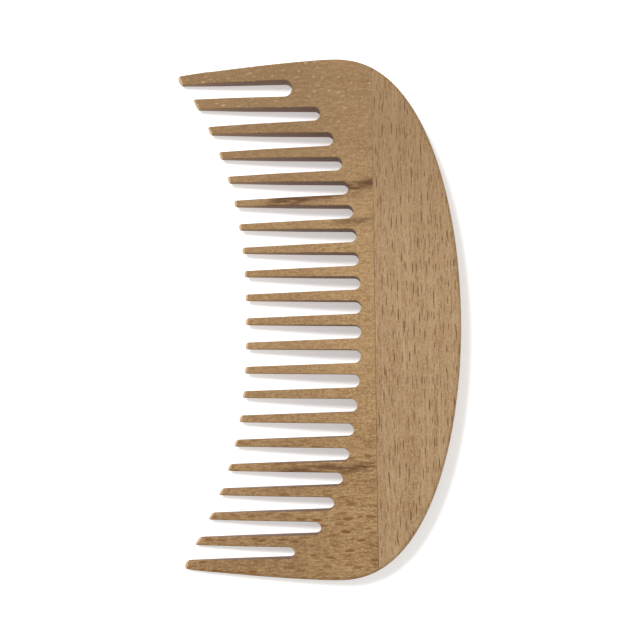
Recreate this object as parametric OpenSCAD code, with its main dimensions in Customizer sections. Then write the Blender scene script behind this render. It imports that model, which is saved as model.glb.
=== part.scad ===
// Wide tooth comb: two beech boards glued edge to edge with a hidden tongue and groove.
// The grain of the tooth board runs along the teeth, and the grain of the spine runs along the comb.
// The comb is drawn lying in its own mid-plane, with X along it, -Y to the tooth tips and +Y to the back.
// It's then laid on its lower face, so that Z is 0 where it rests.

/* [Comb] */
// Length of the comb, end to end
comb_length = 140; // [138:1:160]
// Width of the comb, from the tips of the end teeth to the back
comb_width = 75.5; // [73:0.5:80]
// Thickness at the back
back_thickness = 9.4; // [8:0.1:11]
// Thickness that the flat wedge would have at the tips of the end teeth
wedge_edge_thickness = 2.8; // [2.4:0.1:4]

/* [Outline] */
// Height of the comb's widest line, measured from half its width
widest_y = 3.25; // [0:0.25:6]
// How far each end draws in between the widest line and the tips
end_taper = 3.05; // [1:0.05:5]
// How late the ends start to draw in: 1 is a straight slope
end_taper_power = 1.45; // [1.2:0.05:2]
// Fullness of the curved back: 2 is an ellipse, more is squarer
back_fullness = 2.4; // [2:0.05:3]

/* [Teeth] */
// Number of slots, which is one less than the number of teeth
slot_count = 20; // [16:1:20]
// Distance from one slot's centre line to the next, where they're evenly spaced
tooth_pitch = 6.58; // [6:0.01:6.6]
// How far the slots on the left stand towards the middle, at most
left_drift = 1; // [0:0.1:1.2]
// How far the tip of the middle tooth stands below half the width
middle_tip_depth = 20.15; // [18:0.05:22]
// How far the line of the tips falls between the middle and the ends
tip_line_drop = 18.3; // [16:0.1:19]
// How suddenly the line of the tips falls away towards the ends
tip_line_power = 2.5; // [2:0.1:3]
// How much higher the tips and the roots are for each millimetre to the right
line_tilt = -0.008; // [-0.012:0.001:0.012]
// Width of a slot at its round root
slot_root_width = 3.5; // [2.6:0.05:3.6]
// How much wider a slot gets for each millimetre towards the tips
slot_flare = 0.04; // [0.02:0.005:0.05]
// Width of the first slot at its root
first_slot_width = 4.35; // [3.2:0.05:4.4]
// How much wider the first slot gets for each millimetre towards the tips, which is less than nothing
first_slot_flare = -0.02; // [-0.03:0.005:0]
// Width of the last slot at its root
last_slot_width = 3.05; // [2.6:0.05:3.6]
// Height of the middle slots' roots above half the width
middle_root_height = 11.2; // [8:0.1:11.5]
// How far the line of the roots falls between the middle and the ends
root_line_drop = 21.5; // [16:0.1:22]
// How far past the last slot's centre line the line of the roots would fall away
root_line_reach = 0.65; // [0.4:0.05:1]
// Squareness of the line of the roots: 2 is an ellipse, more is squarer
root_line_power = 2.2; // [2:0.1:2.5]

/* [Tooth tips] */
// Thickness of each tooth at its tip
tip_thickness = 1.5; // [1:0.1:2.2]
// Length over which each tooth is thinned towards its tip
thinned_length = 14; // [8:0.5:18]
// Thickness where the thinning would start on a tooth of the flat wedge
thinned_from = 4.8; // [4.2:0.1:5.5]
// Radius of the line of tips that the thinning follows
tip_line_radius = 130; // [110:1:150]
// How far the rounding of a tip's two corners reaches along its sides
tip_rounding = 0.5; // [0.2:0.05:0.6]
// How far the rounding reaches on the two end teeth
end_tip_rounding = 1; // [0.5:0.1:1.2]
// How much lower the end teeth's outer corners would be if they weren't rounded
end_corner_drop = 0.24; // [0.1:0.02:0.6]
// How much the cut across every inner tip is turned clockwise from the line of the tips, as a slope
tip_cut_turn = 0.1; // [0:0.02:0.2]
// How much the cuts across the two end tips rise towards the middle, as a slope
end_cut_slope = 0.28; // [0.1:0.02:0.6]

/* [Glued joint] */
// Width of the spine's board, from the joint to the back
spine_width = 22.9; // [20:0.1:24]
// Length of the tongue on the tooth board
tongue_length = 5; // [3:0.1:7]
// Thickness of the tongue, a third of the comb's
tongue_thickness = 2.4; // [1.8:0.1:3]
// Thickness of the glue, everywhere between the two boards
glue_thickness = 0.2; // [0.1:0.05:0.3]

/* [Hidden] */

half_length = comb_length / 2;
half_width = comb_width / 2;
tip_half_length = half_length - end_taper;
joint_y = half_width - spine_width;
last_slot_x = (slot_count - 1) / 2 * tooth_pitch;
// How much half of the thickness grows for each millimetre towards the back.
wedge_slope = (back_thickness - wedge_edge_thickness) / comb_width / 2;
// Turning the comb by this angle lays its lower face flat.
lay_angle = atan(wedge_slope);
mid_thickness = (back_thickness + wedge_edge_thickness) / 2;
// Tilting the comb moves its back edge and its tips by these amounts, which the shift centres again.
lay_shift_y = -(back_thickness - tip_thickness) / 4 * sin(lay_angle);
lay_shift_z = mid_thickness / 2 * cos(lay_angle);

OUTLINE_STEPS = 64;
EDGE_STEPS = 10;
ROUNDING_STEPS = 5;
// The rounding's last step is made this many times longer, so that it crosses the slot's side cleanly.
OVERRUN = 10;
// The curve u * (1 - u) * (1 - u) is 4/27 at its highest.
DRIFT_CURVE_TOP = 4 / 27;
BEYOND = 20;
$fn = 96;

function sgn_pow(v, p) = sign(v) * pow(abs(v), p);
// A point of an arch that's half_span wide and rise high, at an angle from 0 at one end to 180 at the other.
function arch_point(half_span, rise, p, q, angle) =
    [half_span * sgn_pow(cos(angle), 2 / p), rise * pow(sin(angle), 2 / q)];
// The height above its base of such an arch, at a distance x from its middle.
function arch_height(half_span, rise, p, q, x) =
    rise * pow(1 - pow(abs(x) / half_span, p), 1 / q);
// Half the comb's length at a height y below its widest line.
function end_x(y) =
    half_length - end_taper * pow((widest_y - y) / (widest_y + half_width), end_taper_power);
// The line that the tips lie on.
function tip_y(x) =
    -middle_tip_depth - tip_line_drop * pow(abs(x) / tip_half_length, tip_line_power) + line_tilt * x;
// The line that the slots' roots lie on.
function root_y(x) =
    middle_root_height - root_line_drop + line_tilt * x
    + arch_height(last_slot_x + root_line_reach, root_line_drop, root_line_power, 2, x);

// Slot i, from 0 at the left: its centre line, its width at the root, how much it widens, and its root's centre.
// The left half of the slots drifts towards the middle, most of all a third of the way along.
function slot_x(i) =
    let (even = (i - (slot_count - 1) / 2) * tooth_pitch,
         u = 1 + even / last_slot_x)
    even < 0 ? even + left_drift * u * pow(1 - u, 2) / DRIFT_CURVE_TOP : even;
function root_width(i) = i == 0 ? first_slot_width : i == slot_count - 1 ? last_slot_width : slot_root_width;
function flare(i) = i == 0 ? first_slot_flare : slot_flare;
function root_centre_y(i) = root_y(slot_x(i)) - root_width(i) / 2;

// The cut across the tip of tooth k, as a point on it and its slope. Tooth k stands between slots k - 1 and k.
// An inner tooth's cut follows the tip line between the two slots' centres, turned about the middle.
function end_cut(side) =
    let (low = -half_width - end_corner_drop)
    [[side * end_x(low), low], -side * end_cut_slope];
function inner_cut(left, right) =
    [[(left + right) / 2, (tip_y(left) + tip_y(right)) / 2],
     (tip_y(right) - tip_y(left)) / (right - left) - tip_cut_turn];
function tip_cut(k) =
    k == 0 ? end_cut(-1) : k == slot_count ? end_cut(1) : inner_cut(slot_x(k - 1), slot_x(k));
// Where the side of slot i meets the cut: side is 1 for the slot's right side and -1 for its left.
function tip_corner(cut, i, side) =
    let (widening = side * flare(i) / 2,
         x = (slot_x(i) + side * root_width(i) / 2
              + widening * (root_centre_y(i) - cut[0].y + cut[1] * cut[0].x)) / (1 + widening * cut[1]))
    [x, cut[0].y + cut[1] * (x - cut[0].x)];
// A point on the same side of the slot, higher up.
function slot_side(i, side) = [slot_x(i) + side * root_width(i) / 2, root_centre_y(i)];

function unit(v) = v / norm(v);
// The points that round the corner c between a and b, anticlockwise, from reach before it to reach after it.
function rounded(a, c, b, reach) =
    let (u = unit(a - c),
         v = unit(b - c),
         half = acos(u * v) / 2,
         centre = c + unit(u + v) * reach / cos(half),
         from = c + u * reach - centre)
    [for (i = [0 : ROUNDING_STEPS])
        let (turn = (180 - 2 * half) * i / ROUNDING_STEPS)
        centre + [from.x * cos(turn) - from.y * sin(turn), from.x * sin(turn) + from.y * cos(turn)]];

// A point well inside the slot, on the line that runs through b and then through a on the slot's side.
function past(a, b) = a + (a - b) * OVERRUN;

// The tip of tooth k, from left to right. It starts and ends inside the slots on either side of it.
function tooth_tip(k) =
    let (cut = tip_cut(k),
         first = k == 0,
         last = k == slot_count,
         above = -half_width + BEYOND / 10,
         left = first ? cut[0] : tip_corner(cut, k - 1, 1),
         right = last ? cut[0] : tip_corner(cut, k, -1),
         above_left = first ? [-end_x(above), above] : slot_side(k - 1, 1),
         above_right = last ? [end_x(above), above] : slot_side(k, -1),
         reach = first || last ? end_tip_rounding : tip_rounding,
         n = ROUNDING_STEPS,
         start = rounded(above_left, left, right, reach),
         end = rounded(left, right, above_right, reach))
    concat([first ? start[0] : past(start[0], start[1])],
           [for (i = [1 : n]) start[i]],
           [for (i = [0 : n - 1]) end[i]],
           [last ? end[n] : past(end[n], end[n - 1])]);

// The comb's outline without its slots: the arched back, the two ends and the rounded tips.
module outline() {
    back = [for (i = [0 : OUTLINE_STEPS])
        [0, widest_y] + arch_point(half_length, half_width - widest_y, 2, back_fullness,
                                   180 * i / OUTLINE_STEPS)];
    left_end = [for (i = [1 : EDGE_STEPS - 1])
        let (y = widest_y - (widest_y + half_width) * i / EDGE_STEPS) [-end_x(y), y]];
    tips = [for (k = [0 : slot_count]) each tooth_tip(k)];
    right_end = [for (i = [EDGE_STEPS - 1 : -1 : 1])
        let (y = widest_y - (widest_y + half_width) * i / EDGE_STEPS) [end_x(y), y]];
    polygon(concat(back, left_end, tips, right_end));
}

// One slot about its own centre line: a round root at y = top, opening downwards.
module slot(top, width, flare) {
    r = width / 2;
    reach = top + half_width + BEYOND;
    translate([0, top - r]) {
        circle(r);
        polygon([[-r, 0], [r, 0], [r + flare * reach / 2, -reach], [-r - flare * reach / 2, -reach]]);
    }
}

module slots() {
    for (i = [0 : slot_count - 1])
        translate([slot_x(i), 0])
            slot(root_y(slot_x(i)), root_width(i), flare(i));
}

// The flat wedge that both faces of the comb are planed to, drawn in YZ and run along X.
module wedge() {
    low = -half_width - BEYOND;
    high = half_width + BEYOND;
    function half_at(y) = mid_thickness / 2 + wedge_slope * y;
    rotate([90, 0, 90])
        linear_extrude(comb_length + BEYOND, center = true)
            polygon([[low, -half_at(low)], [high, -half_at(high)],
                     [high, half_at(high)], [low, half_at(low)]]);
}

// Everything that's left after both faces are ground thinner towards the tips.
// It turns about an axis far below the comb, so that each tooth is thinned by its own distance from its tip.
module thinning() {
    slope = (thinned_from - tip_thickness) / thinned_length / 2;
    // A little below the line of tips, where half of the tips' thickness would be left.
    near = tip_line_radius - tip_thickness / slope / 4;
    far = tip_line_radius + comb_width;
    function half_at(r) = tip_thickness / 2 + slope * (r - tip_line_radius);
    translate([0, -middle_tip_depth - tip_line_radius, 0])
        rotate_extrude()
            polygon([[near, -half_at(near)], [far, -half_at(far)], [far, half_at(far)], [near, half_at(near)]]);
}

// The whole comb as one shape, before it's parted into its two boards and their glue.
module comb_shape() {
    intersection() {
        linear_extrude(back_thickness * 2, center = true)
            difference() {
                outline();
                slots();
            }
        wedge();
        thinning();
    }
}

// The side of the joint that the tongue is on, as a profile in YZ run along X.
// grown moves the joint's faces outwards, to leave room for the glue.
module tongue_side(grown) {
    top = joint_y + grown;
    half_tongue = tongue_thickness / 2 + grown;
    tall = back_thickness * 2;
    rotate([90, 0, 90])
        linear_extrude(comb_length + BEYOND, center = true)
            polygon([[-half_width - BEYOND, -tall], [top, -tall], [top, -half_tongue],
                     [top + tongue_length, -half_tongue], [top + tongue_length, half_tongue],
                     [top, half_tongue], [top, tall], [-half_width - BEYOND, tall]]);
}

// Lays a shape that was drawn about the mid-plane on its lower face.
module laid_flat() {
    translate([0, lay_shift_y, lay_shift_z])
        rotate([lay_angle, 0, 0])
            children();
}

// The curved board along the back, with its groove.
module spine() {
    color([0.72, 0.59, 0.45])
        laid_flat()
            difference() {
                comb_shape();
                tongue_side(glue_thickness / 2);
            }
}

// The board that the teeth are cut in, with its tongue.
module tooth_board() {
    color([0.62, 0.50, 0.37])
        laid_flat()
            intersection() {
                comb_shape();
                tongue_side(-glue_thickness / 2);
            }
}

// The cured glue that fills the gap around the tongue.
module glue_line() {
    color([0.35, 0.27, 0.20])
        laid_flat()
            difference() {
                intersection() {
                    comb_shape();
                    tongue_side(glue_thickness / 2);
                }
                tongue_side(-glue_thickness / 2);
            }
}

spine();
tooth_board();
glue_line();
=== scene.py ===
# %% [markdown]
# # A wide tooth comb in beech
# The comb is two boards glued edge to edge: a tooth board, whose grain runs along the teeth so that they
# don't snap, and a curved spine, whose grain runs along the comb and holds the teeth together. A thin
# dark film of cured glue shows between them. The construction model already holds all three at their real
# size, and this script gives them their looks, in metres, in the same frame.

# %% Load the construction model
import math

import bmesh
import bpy
from mathutils import Matrix, Vector


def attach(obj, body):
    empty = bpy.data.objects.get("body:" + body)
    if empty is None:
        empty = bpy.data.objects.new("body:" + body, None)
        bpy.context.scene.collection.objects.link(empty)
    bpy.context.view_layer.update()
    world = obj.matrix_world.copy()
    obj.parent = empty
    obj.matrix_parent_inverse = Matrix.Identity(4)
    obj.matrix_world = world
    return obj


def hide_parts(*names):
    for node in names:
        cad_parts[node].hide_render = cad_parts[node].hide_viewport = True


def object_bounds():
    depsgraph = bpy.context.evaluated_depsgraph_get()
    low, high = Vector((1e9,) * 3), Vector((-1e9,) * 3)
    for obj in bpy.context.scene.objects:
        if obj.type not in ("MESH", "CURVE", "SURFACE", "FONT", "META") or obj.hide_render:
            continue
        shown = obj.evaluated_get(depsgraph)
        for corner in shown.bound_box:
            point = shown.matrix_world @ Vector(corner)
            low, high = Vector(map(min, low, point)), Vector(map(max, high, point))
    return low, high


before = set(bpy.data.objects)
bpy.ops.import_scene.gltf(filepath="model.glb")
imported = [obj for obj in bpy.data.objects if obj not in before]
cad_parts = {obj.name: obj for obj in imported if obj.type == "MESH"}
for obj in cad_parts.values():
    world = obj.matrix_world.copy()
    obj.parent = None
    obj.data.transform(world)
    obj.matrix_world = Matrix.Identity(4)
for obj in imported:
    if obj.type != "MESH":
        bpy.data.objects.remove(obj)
cad_low, cad_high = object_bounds()
MM = 0.001
print("construction box, mm:", [round(v / MM, 2) for v in (*cad_low, *cad_high)])

# %% [markdown]
# ## The comb's own sizes
# X runs along the comb, -Y towards the tips of the teeth and +Y towards the curved back. The comb is
# shaped about its mid-plane first, where both faces are mirror images, and only then laid on its lower
# face. The length comes from the loaded frame. The other sizes are the ones that the boards were drawn
# with.

# %% Sizes
HALF_LENGTH = (cad_high.x - cad_low.x) / 2
HALF_WIDTH = 37.75 * MM
BACK_THICKNESS = 9.4 * MM
EDGE_THICKNESS = 2.8 * MM
WIDEST_Y = 3.25 * MM
END_TAPER = 3.05 * MM
END_TAPER_POWER = 1.45
BACK_FULLNESS = 2.4
SLOTS = 20
PITCH = 6.58 * MM
LEFT_DRIFT = 1.0 * MM
MIDDLE_TIP_DEPTH = 20.15 * MM
TIP_LINE_DROP = 18.3 * MM
TIP_LINE_POWER = 2.5
LINE_TILT = -0.008
SLOT_ROOT_WIDTH = 3.5 * MM
SLOT_FLARE = 0.04
FIRST_SLOT_WIDTH = 4.35 * MM
FIRST_SLOT_FLARE = -0.02
LAST_SLOT_WIDTH = 3.05 * MM
ROOT_HEIGHT = 11.2 * MM
ROOT_DROP = 21.5 * MM
ROOT_REACH = 0.65 * MM
ROOT_POWER = 2.2
TIP_THICKNESS = 1.5 * MM
TIP_LINE_RADIUS = 130 * MM
TIP_ROUNDING = 0.5 * MM
END_TIP_ROUNDING = 1.0 * MM
END_CORNER_DROP = 0.22 * MM
END_CUT_SLOPE = 0.28
TIP_CUT_TURN = 0.1
THINNED_FROM = 4.8 * MM
THINNED_LENGTH = 14 * MM
THINNING_SLOPE = (THINNED_FROM - TIP_THICKNESS) / THINNED_LENGTH / 2
JOINT_Y = HALF_WIDTH - 22.9 * MM
TONGUE_LENGTH = 5 * MM
TONGUE_THICKNESS = 2.4 * MM
GLUE_THICKNESS = 0.2 * MM
TIP_HALF_LENGTH = HALF_LENGTH - END_TAPER
END_SLOT_X = (SLOTS - 1) / 2 * PITCH
WEDGE_SLOPE = (BACK_THICKNESS - EDGE_THICKNESS) / (2 * HALF_WIDTH) / 2
LAY_ANGLE = math.atan(WEDGE_SLOPE)
print("the comb is tilted", round(math.degrees(LAY_ANGLE), 2), "degrees to lie flat")


# %% [markdown]
# ## Four curves say what the comb's outline is
# The back is one full arch, a little squarer than an ellipse. The two ends draw in gently towards the
# tips. The tips lie on a hollow line and the slots' round roots lie on a second, flatter arch. The slots
# aren't quite even: those in the left half drift towards the middle, by up to a millimetre, and both
# lines tilt a little. Writing the curves as functions keeps the outline, the cutters and the finishing
# work in step with each other.

# %% Curves of the outline
DRIFT_CURVE_TOP = 4 / 27


def arch_height(half_span, rise, p, q, x):
    return rise * (1 - (abs(x) / half_span) ** p) ** (1 / q)


def end_x(y):
    share = max(WIDEST_Y - y, 0) / (WIDEST_Y + HALF_WIDTH)
    return HALF_LENGTH - END_TAPER * share**END_TAPER_POWER


def tip_y(x):
    drop = TIP_LINE_DROP * (abs(x) / TIP_HALF_LENGTH) ** TIP_LINE_POWER
    return -MIDDLE_TIP_DEPTH - drop + LINE_TILT * x


def root_y(x):
    arch = arch_height(END_SLOT_X + ROOT_REACH, ROOT_DROP, ROOT_POWER, 2, x)
    return ROOT_HEIGHT - ROOT_DROP + LINE_TILT * x + arch


def slot_x(i):
    """The middle of slot i: even steps, and a drift in the left half that's none at either end of it."""
    even = (i - (SLOTS - 1) / 2) * PITCH
    share = 1 + even / END_SLOT_X
    curve = share * (1 - share) ** 2 / DRIFT_CURVE_TOP
    return even + LEFT_DRIFT * curve if even < 0 else even


def tooth_at(x):
    """Which tooth a place belongs to, from 0 at the left: as many as there are slots to its left."""
    return sum(slot_x(i) < x for i in range(SLOTS))


def tip_cut(k):
    """The cut across the tip of tooth k, as a point on it, its slope, and the sides that it runs between."""
    low = -HALF_WIDTH - END_CORNER_DROP
    if k == 0:
        return Vector((-end_x(low), low, 0)), END_CUT_SLOPE, -end_x(low), slot_x(0)
    if k == SLOTS:
        return Vector((end_x(low), low, 0)), -END_CUT_SLOPE, slot_x(SLOTS - 1), end_x(low)
    left = slot_x(k - 1)
    right = slot_x(k)
    slope = (tip_y(right) - tip_y(left)) / (right - left) - TIP_CUT_TURN
    return Vector(((left + right) / 2, (tip_y(left) + tip_y(right)) / 2, 0)), slope, left, right


print("slots stand at, mm:", [round(slot_x(i) / MM, 1) for i in range(SLOTS)])
print("middle tooth reaches", round(-tip_y(0) / MM, 1), "mm below half the width")


# %% [markdown]
# ## Helpers for working in edit mode
# An operator acts on everything that's selected, so each step starts from a clean selection. These
# helpers clear it, pick vertices, edges or faces by a test, and apply a modifier by the name of its kind.

# %% Selection helpers
def clear_selection():
    for obj in bpy.context.selected_objects:
        obj.select_set(False)


def only(obj):
    clear_selection()
    obj.select_set(True)
    bpy.context.view_layer.objects.active = obj


def edit(obj, kind):
    only(obj)
    bpy.ops.object.mode_set(mode="EDIT")
    bpy.ops.mesh.select_mode(type=kind)
    bpy.ops.mesh.select_all(action="DESELECT")
    return bmesh.from_edit_mesh(obj.data)


def pick(obj, kind, test):
    """Enters edit mode on obj with the parts of one kind selected that pass the test, and counts them."""
    shape = edit(obj, kind)
    parts = {"VERT": shape.verts, "EDGE": shape.edges, "FACE": shape.faces}[kind]
    chosen = [part for part in parts if test(part)]
    for part in chosen:
        part.select_set(True)
    shape.select_flush_mode()
    bmesh.update_edit_mesh(obj.data)
    return len(chosen)


def leave():
    bpy.ops.object.mode_set(mode="OBJECT")


def apply_modifier(obj, kind, **settings):
    only(obj)
    modifier = obj.modifiers.new(kind.title(), kind)
    for name, value in settings.items():
        setattr(modifier, name, value)
    bpy.ops.object.modifier_apply(modifier=modifier.name)


clear_selection()
print("nothing selected:", not bpy.context.selected_objects)

# %% [markdown]
# ## The blank
# A comb like this starts as a flat blank, sawn to its outline. Here a filled circle with one vertex per
# outline point is pressed into that outline, and then pulled up to the blank's thickness. Each tooth gets
# one straight, slanting end, as a saw leaves it, and the short steps from one to the next lie where the
# slots will be.

# %% Blank
BACK_POINTS = 128
END_POINTS = 10
WITHIN_SLOT = 0.3 * MM


def outline_points():
    rise = HALF_WIDTH - WIDEST_Y
    points = []
    for i in range(BACK_POINTS + 1):
        angle = math.pi * i / BACK_POINTS
        height = WIDEST_Y + rise * math.sin(angle) ** (2 / BACK_FULLNESS)
        points.append((HALF_LENGTH * math.cos(angle), height))
    heights = [WIDEST_Y - (WIDEST_Y + HALF_WIDTH) * i / END_POINTS for i in range(1, END_POINTS)]
    points += [(-end_x(y), y) for y in heights]
    for k in range(SLOTS + 1):
        start, slope, left, right = tip_cut(k)
        left += 0 if k == 0 else WITHIN_SLOT
        right -= 0 if k == SLOTS else WITHIN_SLOT
        points += [(x, start.y + slope * (x - start.x)) for x in (left, right)]
    points += [(end_x(y), y) for y in reversed(heights)]
    return points


places = outline_points()
bpy.ops.mesh.primitive_circle_add(
    vertices=len(places), radius=HALF_LENGTH, fill_type="NGON", location=(0, 0, -BACK_THICKNESS / 2)
)
bpy.ops.object.transform_apply(location=True)
comb = bpy.context.active_object
comb.name = "comb_blank"
for vertex, (x, y) in zip(comb.data.vertices, places):
    vertex.co.x = x
    vertex.co.y = y
pick(comb, "FACE", lambda face: True)
bpy.ops.mesh.extrude_region_move(TRANSFORM_OT_translate={"value": (0, 0, BACK_THICKNESS)})
bpy.ops.mesh.select_all(action="SELECT")
bpy.ops.mesh.normals_make_consistent(inside=False)
leave()
print("blank:", len(places), "points round the outline")

# %% [markdown]
# ## The slots
# The slots are milled or sawn with a round-nosed cutter, and widen slightly towards the tips. A cutter is
# modelled as a short cylinder, of which the lower half is cut off, and whose flat side is pulled out and
# spread. The first slot is wider than the others and the last one narrower, so they have cutters of their
# own. Copies, joined into one tool, are then taken out of the blank by a Boolean.

# %% Slot cutters
CUTTER_SIDES = 48


def slot_cutter(name, width, flare):
    reach = 2 * HALF_WIDTH
    bpy.ops.mesh.primitive_cylinder_add(vertices=CUTTER_SIDES, radius=width / 2, depth=3 * BACK_THICKNESS)
    cutter = bpy.context.active_object
    cutter.name = name
    edit(cutter, "FACE")
    bpy.ops.mesh.select_all(action="SELECT")
    bpy.ops.mesh.bisect(plane_co=(0, 0, 0), plane_no=(0, 1, 0), use_fill=True, clear_inner=True)
    leave()
    pick(cutter, "FACE", lambda face: face.normal.y < -0.99)
    bpy.ops.mesh.extrude_region_move(TRANSFORM_OT_translate={"value": (0, -reach, 0)})
    bpy.ops.transform.resize(value=((width + flare * reach) / width, 1, 1))
    leave()
    return cutter


def copy_to(cutter, x, top, width):
    twin = cutter.copy()
    twin.data = cutter.data.copy()
    bpy.context.collection.objects.link(twin)
    twin.location = (x, top - width / 2, 0)
    return twin


END_SLOTS = {0: (FIRST_SLOT_WIDTH, FIRST_SLOT_FLARE), SLOTS - 1: (LAST_SLOT_WIDTH, SLOT_FLARE)}
inner_cutter = slot_cutter("inner_cutter", SLOT_ROOT_WIDTH, SLOT_FLARE)
end_cutters = {i: slot_cutter("end_cutter", *sizes) for i, sizes in END_SLOTS.items()}
tools = []
for i in range(SLOTS):
    width = END_SLOTS[i][0] if i in END_SLOTS else SLOT_ROOT_WIDTH
    cutter = end_cutters.get(i, inner_cutter)
    tools.append(copy_to(cutter, slot_x(i), root_y(slot_x(i)), width))
only(tools[0])
for tool in tools:
    tool.select_set(True)
bpy.ops.object.join()
slot_tool = bpy.context.active_object
for cutter in (inner_cutter, *end_cutters.values()):
    bpy.data.objects.remove(cutter)
apply_modifier(comb, "BOOLEAN", operation="DIFFERENCE", object=slot_tool, solver="EXACT")
bpy.data.objects.remove(slot_tool)
print("slotted blank:", len(comb.data.polygons), "faces")

# %% [markdown]
# ## Rounding the tips, seen from above
# Each tooth ends in a straight cut with its two corners taken off, so that it doesn't scratch. Only the
# upright edges at the tips are picked, by their place, and bevelled. The end teeth are wider and get a
# larger radius.

# %% Tip corners
NEAR_CUT = 0.3 * MM
SAME_PLACE = 0.001 * MM
TIP_STEPS = 5
END_TIP_STEPS = 7


def at_tip(edge):
    a, b = (v.co for v in edge.verts)
    start, slope = tip_cut(tooth_at(a.x))[:2]
    upright = (a.xy - b.xy).length < SAME_PLACE
    return upright and abs(start.y + slope * (a.x - start.x) - a.y) < NEAR_CUT


inner = pick(comb, "EDGE", lambda e: at_tip(e) and abs(e.verts[0].co.x) < END_SLOT_X)
bpy.ops.mesh.bevel(offset=TIP_ROUNDING, segments=TIP_STEPS, affect="EDGES")
leave()
outer = pick(comb, "EDGE", lambda e: at_tip(e) and abs(e.verts[0].co.x) > END_SLOT_X + MM)
bpy.ops.mesh.bevel(offset=END_TIP_ROUNDING, segments=END_TIP_STEPS, affect="EDGES")
leave()
print("rounded", inner, "inner and", outer, "outer corners")

# %% [markdown]
# ## Planing the comb to a wedge
# The comb is thickest at its back, which the hand holds, and both faces are planed evenly towards the
# tips. A cube that's larger than the comb stands for everything between the two planed faces: its end
# faces are squeezed to the thickness that the wedge has there. What the comb and this cube share is the
# planed comb.

# %% Wedge
BEYOND = 20 * MM


def wedge_half(y):
    return (BACK_THICKNESS + EDGE_THICKNESS) / 4 + WEDGE_SLOPE * y


def planed_form():
    reach = HALF_WIDTH + BEYOND
    size = (2 * (HALF_LENGTH + BEYOND), 2 * reach, 2 * wedge_half(reach))
    bpy.ops.mesh.primitive_cube_add(size=1, scale=size)
    form = bpy.context.active_object
    bpy.ops.object.transform_apply(scale=True)
    pick(form, "FACE", lambda face: face.normal.y < -0.9)
    squeeze = wedge_half(-reach) / wedge_half(reach)
    bpy.ops.transform.resize(value=(1, 1, squeeze), center_override=(0, -reach, 0))
    leave()
    return form


wedge = planed_form()
apply_modifier(comb, "BOOLEAN", operation="INTERSECT", object=wedge, solver="EXACT")
bpy.data.objects.remove(wedge)
print("thickness at the joint, mm:", round(2 * wedge_half(JOINT_Y) / MM, 2))

# %% [markdown]
# ## Thinning the teeth
# A tooth also gets thinner towards its own tip, so that it slips under the hair. The teeth are ground
# against a drum that follows the line of the tips. A profile that's thin at one end is spun about an axis
# far below the comb, which gives the room between two such drums, and the comb keeps what it shares with
# that. Spin turns clockwise about an axis that points up, so the profile starts on the far left. The
# spin's many narrow strips are as good as flat across one tooth, so a limited dissolve makes one clean
# face of them.

# %% Thinned teeth
SPIN_ANGLE = math.radians(70)
SPIN_STEPS = 140
FLAT_ENOUGH = math.radians(0.15)
BELOW_TIPS = 4 * MM
MERGED_WITHIN = 0.05 * MM
AXIS_Y = -MIDDLE_TIP_DEPTH - TIP_LINE_RADIUS


def thinned_half(radius):
    return TIP_THICKNESS / 2 + THINNING_SLOPE * (radius - TIP_LINE_RADIUS)


def thinned_form():
    near = TIP_LINE_RADIUS - BELOW_TIPS
    far = TIP_LINE_RADIUS + 2 * HALF_WIDTH
    bpy.ops.mesh.primitive_plane_add(size=1, rotation=(0, math.radians(90), 0))
    form = bpy.context.active_object
    form.scale = (2 * thinned_half(far), far - near, 1)
    form.location = (0, AXIS_Y + (near + far) / 2, 0)
    bpy.ops.object.transform_apply(location=True, rotation=True, scale=True)
    pick(form, "EDGE", lambda edge: max(v.co.y for v in edge.verts) < AXIS_Y + near + MM)
    squeeze = thinned_half(near) / thinned_half(far)
    bpy.ops.transform.resize(value=(1, 1, squeeze), center_override=(0, AXIS_Y + near, 0))
    leave()
    form.matrix_world = (
        Matrix.Translation((0, AXIS_Y, 0))
        @ Matrix.Rotation(SPIN_ANGLE / 2, 4, "Z")
        @ Matrix.Translation((0, -AXIS_Y, 0))
    )
    bpy.ops.object.transform_apply(location=True, rotation=True)
    pick(form, "FACE", lambda face: True)
    bpy.ops.mesh.spin(steps=SPIN_STEPS, angle=SPIN_ANGLE, center=(0, AXIS_Y, 0), axis=(0, 0, 1))
    bpy.ops.mesh.select_all(action="SELECT")
    bpy.ops.mesh.remove_doubles(threshold=SAME_PLACE)
    bpy.ops.mesh.normals_make_consistent(inside=False)
    leave()
    return form


thinned = thinned_form()
apply_modifier(comb, "BOOLEAN", operation="INTERSECT", object=thinned, solver="EXACT")
bpy.data.objects.remove(thinned)
pick(comb, "FACE", lambda face: True)
bpy.ops.mesh.remove_doubles(threshold=MERGED_WITHIN)
bpy.ops.mesh.dissolve_limited(angle_limit=FLAT_ENOUGH)
leave()
heights = [abs(v.co.z) for v in comb.data.vertices if v.co.y < tip_y(v.co.x) + MM]
print("tips are", round(2 * min(heights) / MM, 2), "to", round(2 * max(heights) / MM, 2), "mm thick")

# %% [markdown]
# ## A light facet on each tip
# The last 0.9 mm of each tooth is broken with sandpaper on both faces, so that the tip meets the skin
# gently. Each tooth is cut across, parallel to its tip, which adds the edge that the facet starts from.
# Then every vertex beyond that edge moves towards the mid-plane by its own distance from the tip.

# %% Tip facets
FACET_LENGTH = 0.9 * MM
FACET_SLOPE = 0.42
END_TOOTH_X = (END_SLOT_X + SLOT_ROOT_WIDTH / 2 + TIP_HALF_LENGTH) / 2


def tooth_tip(k):
    """The middle of the tip of tooth k, and the direction from it up along the tooth."""
    start, slope, left, right = tip_cut(k)
    middle = {0: -END_TOOTH_X, SLOTS: END_TOOTH_X}.get(k, (left + right) / 2)
    up = Vector((-slope, 1, 0)).normalized()
    return Vector((middle, start.y + slope * (middle - start.x), 0)), up


tips = [tooth_tip(k) for k in range(SLOTS + 1)]


def above_tip(place):
    tip, up = tips[tooth_at(place.x)]
    return (place - tip).dot(up)


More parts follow.
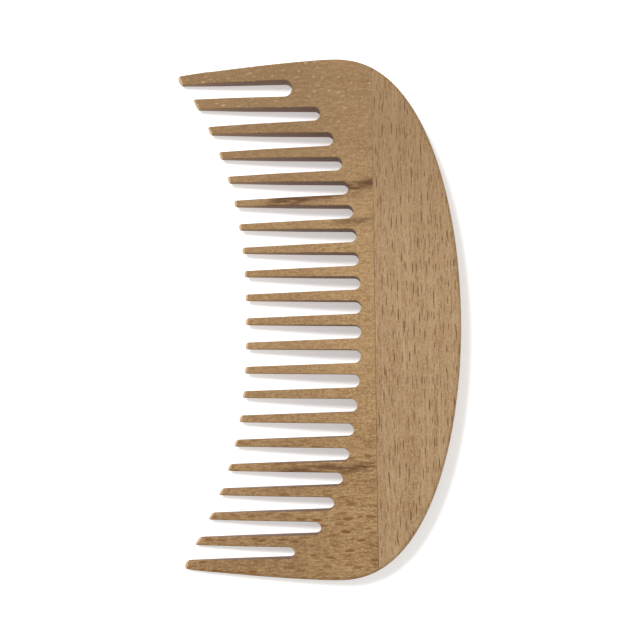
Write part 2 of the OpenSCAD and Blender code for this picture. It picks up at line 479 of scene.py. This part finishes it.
def reaches_facet(face, k):
    return any(tooth_at(v.co.x) == k and above_tip(v.co) < FACET_LENGTH for v in face.verts)


for k, (tip, up) in enumerate(tips):
    pick(comb, "FACE", lambda face: reaches_facet(face, k))
    bpy.ops.mesh.bisect(plane_co=tip + up * FACET_LENGTH, plane_no=up)
    leave()
moved = 0
for vertex in comb.data.vertices:
    short = FACET_LENGTH - above_tip(vertex.co)
    if short > SAME_PLACE:
        vertex.co.z -= math.copysign(short * FACET_SLOPE, vertex.co.z)
        moved += 1
print("facets moved", moved, "vertices")

# %% [markdown]
# ## Easing the edges
# Sanding leaves no sharp edge on a comb: the back and the ends are eased by about a millimetre, and the
# slots and the tips by a few tenths. A Bevel modifier does that, and each edge's weight says how much of
# its width it gets. The weight falls away gently towards the tips of the end teeth, so that one easing
# runs into the other.

# %% Eased edges
BACK_EASING = 0.95 * MM
SLOT_EASING = 0.3 * MM
FADE_LENGTH = 14 * MM
EASING_STEPS = 3
FLAT_NORMAL = 0.6
STEEP_NORMAL = 0.3


def is_rim(edge):
    if len(edge.link_faces) != 2:
        return False
    flat, steep = sorted((abs(face.normal.z) for face in edge.link_faces), reverse=True)
    return flat > FLAT_NORMAL and steep < STEEP_NORMAL


def easing(place):
    outside = abs(place.x) > END_TOOTH_X or place.y > ROOT_HEIGHT + MM
    if not outside:
        return SLOT_EASING
    share = min(max((place.y + HALF_WIDTH) / FADE_LENGTH, 0), 1)
    return SLOT_EASING + (BACK_EASING - SLOT_EASING) * share


only(comb)
shape = bmesh.new()
shape.from_mesh(comb.data)
weight = shape.edges.layers.float.new("bevel_weight_edge")
rim = [edge for edge in shape.edges if is_rim(edge)]
for edge in rim:
    edge[weight] = easing((edge.verts[0].co + edge.verts[1].co) / 2) / BACK_EASING
shape.to_mesh(comb.data)
shape.free()
apply_modifier(
    comb, "BEVEL", width=BACK_EASING, segments=EASING_STEPS, limit_method="WEIGHT",
    use_clamp_overlap=False, miter_outer="MITER_SHARP", harden_normals=False,
)
print("eased", len(rim), "edges")

# %% [markdown]
# ## Parting the comb into two boards and their glue
# The tooth board ends in a tongue, a third of the comb's thickness, which sits in a groove in the spine.
# One tool stands for everything on the tooth board's side of the joint. It's a cube cut into three
# layers, of which the middle one's end is pulled out as the tongue. Made once a little smaller and once a
# little larger, it leaves room for a film of glue all along the joint.

# %% Joint tools
def tongue_side(name, grown):
    edge_y = JOINT_Y + grown
    back_y = -HALF_WIDTH - BEYOND
    bpy.ops.mesh.primitive_cube_add(
        size=1,
        location=(0, (edge_y + back_y) / 2, 0),
        scale=(2 * (HALF_LENGTH + BEYOND), edge_y - back_y, 3 * BACK_THICKNESS),
    )
    tool = bpy.context.active_object
    tool.name = name
    bpy.ops.object.transform_apply(location=True, scale=True)
    for height in (-TONGUE_THICKNESS / 2 - grown, TONGUE_THICKNESS / 2 + grown):
        pick(tool, "FACE", lambda face: True)
        bpy.ops.mesh.bisect(plane_co=(0, 0, height), plane_no=(0, 0, 1))
        leave()
    pick(tool, "FACE", lambda face: face.normal.y > 0.9 and abs(face.calc_center_median().z) < MM)
    bpy.ops.mesh.extrude_region_move(TRANSFORM_OT_translate={"value": (0, TONGUE_LENGTH, 0)})
    leave()
    return tool


def shared_with(name, tools):
    piece = comb.copy()
    piece.data = comb.data.copy()
    piece.name = name
    piece.data.name = name
    bpy.context.collection.objects.link(piece)
    for tool, operation in tools:
        apply_modifier(piece, "BOOLEAN", operation=operation, object=tool, solver="EXACT")
    return piece


smaller = tongue_side("smaller_tool", -GLUE_THICKNESS / 2)
larger = tongue_side("larger_tool", GLUE_THICKNESS / 2)
tooth_wood = shared_with("beech_tooth_board", [(smaller, "INTERSECT")])
spine_wood = shared_with("beech_spine", [(larger, "DIFFERENCE")])
glue_film = shared_with("glue_film", [(larger, "INTERSECT"), (smaller, "DIFFERENCE")])
for tool in (smaller, larger, comb):
    bpy.data.objects.remove(tool)
pieces = (spine_wood, tooth_wood, glue_film)
print("pieces:", [(piece.name, len(piece.data.polygons)) for piece in pieces])

# %% [markdown]
# ## Laying the comb flat
# The comb is turned about its mid-plane until its lower face is level, and lifted until that face is at
# height 0. Its place is then applied, so that each object sits at the origin and its place is in its
# mesh. Last come the normals: smooth where faces meet gently, and weighted by area, so that the wide flat
# faces look truly flat.

# %% Laid flat
LAY_SHIFT_Y = -(BACK_THICKNESS - TIP_THICKNESS) / 4 * math.sin(LAY_ANGLE)
LAY_SHIFT_Z = (BACK_THICKNESS + EDGE_THICKNESS) / 4 * math.cos(LAY_ANGLE)
SMOOTH_ANGLE = math.radians(32)
laid_flat = Matrix.Translation((0, LAY_SHIFT_Y, LAY_SHIFT_Z)) @ Matrix.Rotation(LAY_ANGLE, 4, "X")
for piece in pieces:
    only(piece)
    piece.matrix_world = laid_flat
    bpy.ops.object.transform_apply(location=True, rotation=True, scale=True)
    bpy.ops.object.shade_smooth_by_angle(angle=SMOOTH_ANGLE)
    apply_modifier(piece, "WEIGHTED_NORMAL", weight=100, keep_sharp=True)
lowest = min(v.co.z for piece in pieces for v in piece.data.vertices)
print("lowest point, mm:", round(lowest / MM, 3))

# %% [markdown]
# ## Writing materials as sums
# A wood finish is mostly arithmetic on a place in the board. The class below wraps a node's output, so
# that an expression such as 1 - mask adds the Math node that it needs. Every other node comes from one
# method, which sets the node up first and then fills or links its inputs. A number that multiplies a
# place inside noise() is how many features fit in a millimetre that way, so a small one stretches the
# pattern along the grain.

# %% Material kit
class Wire:
    """A value on its way through a material."""

    def __init__(self, finish, socket):
        self.finish = finish
        self.socket = socket

    def maths(self, operation, first, second=0.0, clamp=False):
        settings = {"operation": operation, "use_clamp": clamp}
        return self.finish.node("ShaderNodeMath", settings, {0: first, 1: second})

    def __add__(self, other):
        return self.maths("ADD", self, other)

    def __radd__(self, other):
        return self.maths("ADD", other, self)

    def __sub__(self, other):
        return self.maths("SUBTRACT", self, other)

    def __rsub__(self, other):
        return self.maths("SUBTRACT", other, self)

    def __mul__(self, other):
        return self.maths("MULTIPLY", self, other)

    def __rmul__(self, other):
        return self.maths("MULTIPLY", other, self)

    def __truediv__(self, other):
        return self.maths("DIVIDE", self, other)

    def __pow__(self, other):
        return self.maths("POWER", self, other)

    def __abs__(self):
        return self.maths("ABSOLUTE", self)


class Finish:
    """A material in the making."""

    def __init__(self, name):
        self.material = bpy.data.materials.new(name)
        self.material.use_nodes = True
        self.tree = self.material.node_tree
        self.tree.nodes.clear()

    def node(self, kind, settings=None, inputs=None, outputs=(0,)):
        node = self.tree.nodes.new(kind)
        for key, value in (settings or {}).items():
            setattr(node, key, value)
        for key, value in (inputs or {}).items():
            if isinstance(value, Wire):
                self.tree.links.new(value.socket, node.inputs[key])
            else:
                node.inputs[key].default_value = value
        wires = [Wire(self, node.outputs[key]) for key in outputs]
        return wires[0] if len(wires) == 1 else wires

    def place(self):
        """The place on the object along X, Y and Z, in millimetres."""
        metres = self.node("ShaderNodeTexCoord", outputs=("Object",))
        axes = self.node("ShaderNodeSeparateXYZ", None, {0: metres}, outputs=(0, 1, 2))
        return [axis * (1 / MM) for axis in axes]

    def point(self, along, across, deep):
        return self.node("ShaderNodeCombineXYZ", None, {0: along, 1: across, 2: deep})

    def facing(self):
        """The direction that the surface faces, as three parts from -1 to 1."""
        normal = self.node("ShaderNodeNewGeometry", outputs=("Normal",))
        return self.node("ShaderNodeSeparateXYZ", None, {0: normal}, outputs=(0, 1, 2))

    def noise(self, along, across, deep, detail=2.0, roughness=0.5):
        place = self.point(along, across, deep)
        inputs = {"Vector": place, "Scale": 1.0, "Detail": detail, "Roughness": roughness}
        return self.node("ShaderNodeTexNoise", None, inputs)

    def ease(self, value, low, high):
        """0 where the value is low or less, 1 where it's high or more, and a smooth rise between."""
        inputs = {"Value": value, "From Min": low, "From Max": high}
        return self.node("ShaderNodeMapRange", {"interpolation_type": "SMOOTHSTEP"}, inputs)

    def mix(self, share, first, second):
        inputs = {0: share, 6: first, 7: second}
        return self.node("ShaderNodeMix", {"data_type": "RGBA", "clamp_factor": True}, inputs, outputs=(2,))

    def surface(self, inputs, bump=None, bump_height=0.0):
        if bump is not None:
            relief = {"Strength": 1.0, "Distance": bump_height, "Height": bump}
            inputs["Normal"] = self.node("ShaderNodeBump", None, relief)
        shader = self.node("ShaderNodeBsdfPrincipled", None, inputs)
        self.node("ShaderNodeOutputMaterial", None, {"Surface": shader}, outputs=())


def paint(red, green, blue):
    """A colour as a paint chart gives it, from 0 to 255, as the linear values that a shader takes."""
    def linear(part):
        share = part / 255
        return share / 12.92 if share <= 0.04045 else ((share + 0.055) / 1.055) ** 2.4
    return (linear(red), linear(green), linear(blue), 1.0)


print("mid beech is", [round(part, 3) for part in paint(175, 146, 112)])

# %% [markdown]
# ## What makes beech look like beech
# Beech is pale and pinkish tan, with no strong rings. What gives it away are its rays: short dark
# spindles, a few millimetres long, that lie along the grain on a flat-sawn face. A Voronoi texture
# scatters one point per cell, and the distance from that point, measured in stretched axes, draws one
# spindle there. Fine fibres and slow streaks along the grain come from stretched noise.

# %% Rays
RANDOMNESS = 0.85
SHARE_STEP = 0.02


def flecks(finish, place, cell, half_size, share, shift=0.0, softness=0.55):
    """A spindle round the point of each cell, on a given share of the cells. Sizes are in millimetres."""
    along, across, deep = place
    scaled = finish.point(along / cell[0] + shift, across / cell[1] + shift, deep / cell[2] + shift)
    colour, centre = finish.node(
        "ShaderNodeTexVoronoi", None, {"Vector": scaled, "Scale": 1.0, "Randomness": RANDOMNESS},
        outputs=("Color", "Position"))
    away = finish.node("ShaderNodeVectorMath", {"operation": "SUBTRACT"}, {0: scaled, 1: centre})
    stretch = tuple(c / h for c, h in zip(cell, half_size))
    away = finish.node("ShaderNodeVectorMath", {"operation": "MULTIPLY"}, {0: away, 1: stretch})
    distance = finish.node("ShaderNodeVectorMath", {"operation": "LENGTH"}, {0: away}, outputs=("Value",))
    chance, strength, size = finish.node("ShaderNodeSeparateColor", None, {0: colour}, outputs=(0, 1, 2))
    kept = finish.ease(chance, 1 - share - SHARE_STEP, 1 - share + SHARE_STEP)
    spindle = 1 - finish.ease(distance / (0.6 + 0.5 * size), softness, 1.0)
    return spindle * kept * (0.5 + 0.5 * strength)


# %% [markdown]
# ## The spine's wood
# The spine's grain runs along the comb. Long thin rays and faint streaks lie all over its two faces. The
# rays are left off the edge, where the flat spindles that draw them would show as wide dark discs.
# Staggering them by a slow noise keeps them out of rows. The colour deepens a little towards the left
# end.

# %% Spine finish
SHEEN = 0.25
STAGGER = 12.0
SPINE_RELIEF = 0.03 * MM
SPINE_DEEP = paint(158, 126, 88)
SPINE_LIGHT = paint(173, 142, 105)
SPINE_STREAK = paint(138, 104, 66)
SPINE_BLOTCH = paint(182, 153, 117)
SPINE_FIBRE = paint(134, 100, 62)
SPINE_SPECK = paint(196, 168, 132)
SPINE_LEFT_END = paint(122, 92, 56)
SPINE_RAY = paint(94, 56, 18)


def spine_finish():
    beech = Finish("beech_along")
    x, y, z = beech.place()
    face_z = beech.facing()[2]
    drift = beech.noise(x * 0.03, y * 0.09, z * 0.09)
    across = y + 1.6 * drift
    broad = beech.noise(x * 0.012, across * 0.32, z * 0.2, 3.0)
    streak = beech.noise(x * 0.03, across * 1.6, z * 0.9, 3.0, 0.6)
    fibre = beech.noise(x * 0.2, across * 3.2, z * 2.2, 3.0, 0.65)
    blotch = beech.noise(x * 0.16, y * 0.3, z * 0.3, 2.0)
    on_face = beech.ease(abs(face_z), 0.5, 0.8)
    staggered = (x + STAGGER * beech.noise(0.0, across * 0.5, z * 0.2, 1.0), across, z)
    rays = on_face * flecks(beech, staggered, (6.0, 1.3, 3.0), (2.3, 0.2, 9.0), 0.7, softness=0.4)
    small_rays = on_face * flecks(beech, staggered, (3.4, 0.9, 1.8), (1.3, 0.14, 6.0), 0.55, shift=7.3)
    speck = beech.noise(x * 1.6, y * 2.8, z * 2.0, 3.0, 0.7)
    base = beech.mix(beech.ease(broad, 0.3, 0.7), SPINE_DEEP, SPINE_LIGHT)
    base = beech.mix(beech.ease(streak, 0.38, 0.66) * 0.6, base, SPINE_STREAK)
    base = beech.mix(beech.ease(blotch, 0.35, 0.75) * 0.3, base, SPINE_BLOTCH)
    base = beech.mix(beech.ease(fibre, 0.35, 0.7) * 0.5, base, SPINE_FIBRE)
    base = beech.mix(beech.ease(speck, 0.42, 0.7) * 0.5, base, SPINE_SPECK)
    base = beech.mix(beech.ease(0 - x, 5.0, 55.0) * 0.42, base, SPINE_LEFT_END)
    base = beech.mix(rays + small_rays * 0.75, base, SPINE_RAY)
    relief = fibre * 0.4 + speck * 0.3 - rays * 0.6 - small_rays * 0.3
    roughness = 0.52 + 0.12 * fibre - 0.08 * rays
    inputs = {"Base Color": base, "Roughness": roughness, "Specular IOR Level": SHEEN}
    beech.surface(inputs, relief, SPINE_RELIEF)
    return beech.material


# %% [markdown]
# ## The tooth board's wood
# The grain of this board runs along the teeth, and its face was left a little fuzzy. Rays show as short
# brown ovals towards the right end, and as pale specks at the left one. Three slanting brown streaks
# cross the board, where the grain swept round a twig. Each is given by the x at which it meets the joint,
# and by half its width. The slot walls are darkened with painted shade. The tips are end grain and pale,
# partly from the wood itself and partly from a painted highlight where they face the lamp.

# %% Tooth board finish
STREAK_SLANT = 0.13
STREAK_TOP = 14.9
STREAK_WANDER = 5.0
STREAK_FADES_Y = (-19.0, -9.0)
TWIG_STREAK = (-35.4, 2.8)
LESSER_STREAK = (-27.0, 2.0)
LESSER_FADES_Y = (1.0, 7.0)
RIGHT_STREAK = (38.4, 1.9)
WALLS_END_X = (65.4, 66.2)
WALLS_END_Y = (12.0, 13.5)
BOARD_RELIEF = 0.06 * MM
BOARD_DEEP = paint(143, 109, 69)
BOARD_LIGHT = paint(158, 125, 85)
BOARD_STREAK = paint(122, 86, 46)
BOARD_FUZZ = paint(187, 154, 109)
BOARD_NAP = paint(191, 160, 119)
BOARD_FIBRE = paint(116, 80, 40)
BOARD_LEFT_END = paint(116, 88, 56)
BOARD_TEETH = paint(104, 76, 44)
BOARD_PALE_RAY = paint(206, 180, 144)
BOARD_RAY = paint(118, 74, 28)
TWIG_BROWN = paint(84, 50, 18)
# The dark colour for the slot walls is painted shade, not a colour of the wood.
SLOT_WALL_SHADE = paint(134, 106, 92)
# The pale colour for the tips is partly their end grain and partly a painted highlight.
END_GRAIN_AND_HIGHLIGHT = paint(200, 172, 140)


def growth_streak(beech, x, y, warp, at, half_width):
    """A slanting, feathered streak that meets the joint at a given x. Sizes are in millimetres."""
    away = abs(x + (y - STREAK_TOP) * STREAK_SLANT - at + (warp - 0.5) * STREAK_WANDER)
    feather = beech.noise(y * 0.18, x * 1.7, 0.0, 3.0, 0.6)
    fades = beech.ease(y, *STREAK_FADES_Y)
    return (1 - beech.ease(away, 0.0, half_width)) * beech.ease(feather, 0.32, 0.52) * fades


def tooth_finish():
    beech = Finish("beech_upright")
    x, y, z = beech.place()
    face_y, face_z = beech.facing()[1:]
    on_face = beech.ease(abs(face_z), 0.5, 0.8)
    drift = beech.noise(y * 0.03, x * 0.09, z * 0.09)
    warp = beech.noise(y * 0.12, x * 0.16, z * 0.1, 1.0)
    across = x + 1.4 * drift + 2.0 * warp
    broad = beech.noise(y * 0.015, across * 0.12, z * 0.1, 3.0)
    streak = beech.noise(y * 0.06, across * 0.9, z * 0.7, 3.0, 0.6)
    fibre = beech.noise(y * 0.35, across * 2.6, z * 2.0, 3.0, 0.65)
    fuzz = beech.noise(y * 1.2, x * 1.5, z * 1.0, 3.0, 0.65)
    nap = beech.noise(y * 3.2, x * 3.0, z * 2.0, 2.0, 0.6)
    to_right = beech.ease(x, 20.0, 42.0)
    to_left = beech.ease(0 - x, 42.0, 60.0)
    leaning = (y + 0.25 * x, across, z)
    rays = on_face * flecks(beech, leaning, (4.8, 2.8, 2.6), (1.75, 0.47, 8.0), 0.85, softness=0.65)
    leaning = (y + 0.6 * x, x, z)
    pale_rays = flecks(beech, leaning, (2.3, 2.0, 2.6), (0.8, 0.4, 6.0), 0.5, shift=3.1, softness=0.1)
    base = beech.mix(beech.ease(broad, 0.3, 0.7), BOARD_DEEP, BOARD_LIGHT)
    base = beech.mix(beech.ease(streak, 0.4, 0.7) * (0.35 + 0.35 * to_right), base, BOARD_STREAK)
    base = beech.mix(beech.ease(fuzz, 0.42, 0.6) * 0.6, base, BOARD_FUZZ)
    base = beech.mix(beech.ease(nap, 0.45, 0.65) * 0.45, base, BOARD_NAP)
    base = beech.mix(beech.ease(fibre, 0.4, 0.66) * (0.35 + 0.3 * to_right), base, BOARD_FIBRE)
    base = beech.mix(beech.ease(0 - x, 15.0, 60.0) * 0.42, base, BOARD_LEFT_END)
    base = beech.mix(beech.ease(0 - y, -8.0, 8.0) * 0.2, base, BOARD_TEETH)
    base = beech.mix(pale_rays * to_left * 0.5, base, BOARD_PALE_RAY)
    base = beech.mix(rays * (0.08 + 0.85 * to_right), base, BOARD_RAY)
    twig = growth_streak(beech, x, y, warp, *TWIG_STREAK)
    lesser = growth_streak(beech, x, y, warp, *LESSER_STREAK) * beech.ease(y, *LESSER_FADES_Y)
    right_streak = growth_streak(beech, x, y, warp, *RIGHT_STREAK)
    base = beech.mix(twig * 0.95 + lesser * 0.7 + right_streak * 0.8, base, TWIG_BROWN)
    # Painted shade: steep faces inside the slots are mixed towards the dark slot-wall colour.
    steep = beech.ease(1 - abs(face_z), 0.72, 0.92)
    in_slot = (1 - beech.ease(abs(x), *WALLS_END_X)) * (1 - beech.ease(y, *WALLS_END_Y))
    # The tip mask picks the tip faces that look towards the lamp: paler end grain together with a painted
    # highlight.
    tip = beech.ease(0 - face_y, 0.25, 0.45) * beech.ease(0 - y, 15.0, 18.0)
    base = beech.mix(steep * in_slot * (1 - tip) * 0.9, base, SLOT_WALL_SHADE)
    base = beech.mix(tip * 0.8, base, END_GRAIN_AND_HIGHLIGHT)
    relief = fibre * 0.3 + fuzz * 0.8 + nap * 0.5 - rays * to_right * 0.4
    roughness = 0.58 + 0.12 * fuzz
    inputs = {"Base Color": base, "Roughness": roughness, "Specular IOR Level": SHEEN}
    beech.surface(inputs, relief, BOARD_RELIEF)
    return beech.material


# %% [markdown]
# ## The cured glue
# Wood glue cures to a hard amber film. At this scale it's a thin brown line, darker where the boards met
# tightly and lighter where dust from the sanding fills it.

# %% Glue finish
GLUE_RELIEF = 0.01 * MM
GLUE_BROWN = paint(98, 64, 34)
GLUE_DUST = paint(136, 102, 64)


def glue_finish():
    glue = Finish("cured_glue")
    x, y, z = glue.place()
    dusty = glue.noise(x * 0.5, y, z * 0.5, 3.0, 0.6)
    tone = glue.mix(glue.ease(dusty, 0.35, 0.7), GLUE_BROWN, GLUE_DUST)
    glue.surface({"Base Color": tone, "Roughness": 0.35 + 0.3 * dusty}, dusty, GLUE_RELIEF)
    return glue.material


# %% [markdown]
# ## Putting the finishes on
# Each piece takes its finish, rides on the comb's one body, and stands for the construction solid of the
# same board.

# %% Pieces in the frame
for piece, node, slot, finish in (
    (spine_wood, "spine", "spine_wood", spine_finish()),
    (tooth_wood, "tooth_board", "tooth_wood", tooth_finish()),
    (glue_film, "glue_line", "cured_glue", glue_finish()),
):
    piece.data.materials.clear()
    piece.data.materials.append(finish)
    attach(piece, "root")
    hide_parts(node)
    print(piece.name, "stands for", node, "in", finish.name)

# %% [markdown]
# ## Floor, light and camera
# The comb lies on pale paper. One soft lamp stands beyond the upper left of the camera's view, so that the
# shadow falls short and soft to the lower right, and an even pale sky fills it in.

# %% Floor
PAPER_GLOW = 0.38
PAPER_SIZE = 6
PAPER_DEPTH = 0.02 * MM
bpy.ops.mesh.primitive_plane_add(size=PAPER_SIZE, location=(0, 0, -PAPER_DEPTH))
floor = bpy.context.active_object
floor.name = "studio_floor"
bpy.ops.object.transform_apply(location=True)
paper = Finish("studio_paper")
paper.surface({
    "Base Color": (0.93, 0.93, 0.93, 1.0),
    "Roughness": 0.9,
    "Emission Color": (1.0, 1.0, 1.0, 1.0),
    "Emission Strength": PAPER_GLOW,
})
floor.data.materials.append(paper.material)

# %% Light
LAMP_PLACE = Vector((-0.35, -0.38, 0.85))
LAMP_WIDTH = 0.22
LAMP_WATTS = 7.8
SKY_STRENGTH = 0.5
lamp = bpy.data.lights.new("studio_lamp", "AREA")
lamp.size = LAMP_WIDTH
lamp.energy = LAMP_WATTS
lamp_object = bpy.data.objects.new("studio_lamp", lamp)
bpy.context.collection.objects.link(lamp_object)
lamp_object.location = LAMP_PLACE
lamp_object.rotation_euler = LAMP_PLACE.to_track_quat("Z", "Y").to_euler()
world = bpy.data.worlds.new("studio_sky")
world.use_nodes = True
world.node_tree.nodes["Background"].inputs["Color"].default_value = (1.0, 1.0, 1.0, 1.0)
world.node_tree.nodes["Background"].inputs["Strength"].default_value = SKY_STRENGTH
bpy.context.scene.world = world
bpy.context.scene.view_settings.view_transform = "Standard"

# %% Camera
CAMERA_HEIGHT = 0.31
CAMERA_X = 17 * MM
CAMERA_Y = 0.25 * MM
CAMERA_TURN = math.radians(0.79)
SENSOR_WIDTH = 36
FOCAL_LENGTH = 63.75
LENS_SHIFT = (-0.0034, 0.099)
NEAREST = 0.01
lens = bpy.data.cameras.new("studio_camera")
lens.sensor_width = SENSOR_WIDTH
lens.lens = FOCAL_LENGTH
lens.shift_x, lens.shift_y = LENS_SHIFT
lens.clip_start = NEAREST
camera = bpy.data.objects.new("studio_camera", lens)
bpy.context.collection.objects.link(camera)
right = Vector((math.sin(CAMERA_TURN), math.cos(CAMERA_TURN), 0))
up = Vector((-math.cos(CAMERA_TURN), math.sin(CAMERA_TURN), 0))
turn = Matrix((right, up, Vector((0, 0, 1)))).transposed()
camera.matrix_world = Matrix.Translation((CAMERA_X, CAMERA_Y, CAMERA_HEIGHT)) @ turn.to_4x4()
bpy.context.scene.camera = camera
print("camera is", CAMERA_HEIGHT, "m above the floor")
